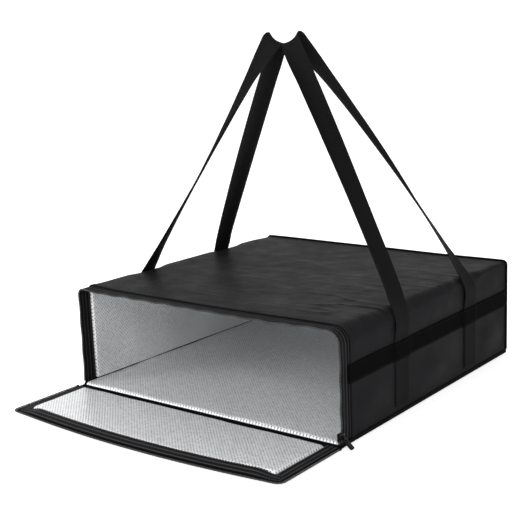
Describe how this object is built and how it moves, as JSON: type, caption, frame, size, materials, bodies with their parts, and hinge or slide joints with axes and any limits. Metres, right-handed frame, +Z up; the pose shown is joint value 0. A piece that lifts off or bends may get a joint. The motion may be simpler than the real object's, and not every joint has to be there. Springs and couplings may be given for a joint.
{
  "type": "pizza delivery bag",
  "caption": "Low, wide insulated carrying bag with an open zipped front flap, a foil-lined padded shell, side bands and two long webbing handles that meet above the top.",
  "frame": {"origin": "middle of the base of the bag's walls, on the ground plane", "axes": "+Z up, +Y from the mouth into the bag, +X to the right across the mouth"},
  "size_m": [0.5309, 0.6751, 0.5541],
  "materials": {
    "fabric": "satin",
    "webbing": "matte",
    "trim": "matte",
    "foil": "metallised film with a fine dotted emboss",
    "foam": "soft padding",
    "chain": "satin",
    "metal": "black gloss"
  },
  "bodies": {
    "shell": {"outer_wrap": "fabric", "outer_back": "fabric", "outer_base": "fabric", "foam_top": "foam", "foam_left": "foam", "foam_right": "foam", "foam_back": "foam", "foam_base": "foam", "lining_walls": "foil", "lining_floor": "foil", "lining_back": "foil", "base_binding": "trim", "back_piping": "trim", "hinge_binding": "trim", "mouth_tape": "trim", "mouth_chain": "chain", "mouth_stop_left": "metal", "mouth_stop_right": "metal", "strap_left_front": "webbing", "strap_left_rear": "webbing", "strap_right_front": "webbing", "strap_right_rear": "webbing", "band_left": "webbing", "band_right": "webbing"},
    "flap": {"flap_outer": "fabric", "flap_foam": "foam", "flap_lining": "foil", "flap_tape": "trim", "flap_chain": "chain", "flap_stop_left": "metal", "flap_stop_right": "metal"},
    "handle_left": {"handle_left": "webbing"},
    "handle_right": {"handle_right": "webbing"},
    "zip_slider": {"zip_slider": "metal"},
    "zip_pull": {"zip_pull": "metal"}
  },
  "joints": [
    {"name": "flap_hinge", "type": "hinge", "parent": "shell", "child": "flap", "pos_m": [0, -0.275, 0.001], "axis": [-1, 0, 0], "range_deg": [0, 90]},
    {"name": "handle_left_swing", "type": "hinge", "parent": "shell", "child": "handle_left", "pos_m": [-0.2551, 0, 0.14751], "axis": [0, -1, 0], "range_deg": [0, 130]},
    {"name": "handle_right_swing", "type": "hinge", "parent": "shell", "child": "handle_right", "pos_m": [0.2551, 0, 0.14751], "axis": [0, 1, 0], "range_deg": [0, 130]},
    {"name": "slider_slide", "type": "slide", "parent": "shell", "child": "zip_slider", "axis": [0, 0, 1], "range_m": [0, 0.118]},
    {"name": "pull_swing", "type": "hinge", "parent": "zip_slider", "child": "zip_pull", "pos_m": [0.2561, -0.2669, 0.014], "axis": [0, -1, 0], "range_deg": [0, 129]}
  ]
}
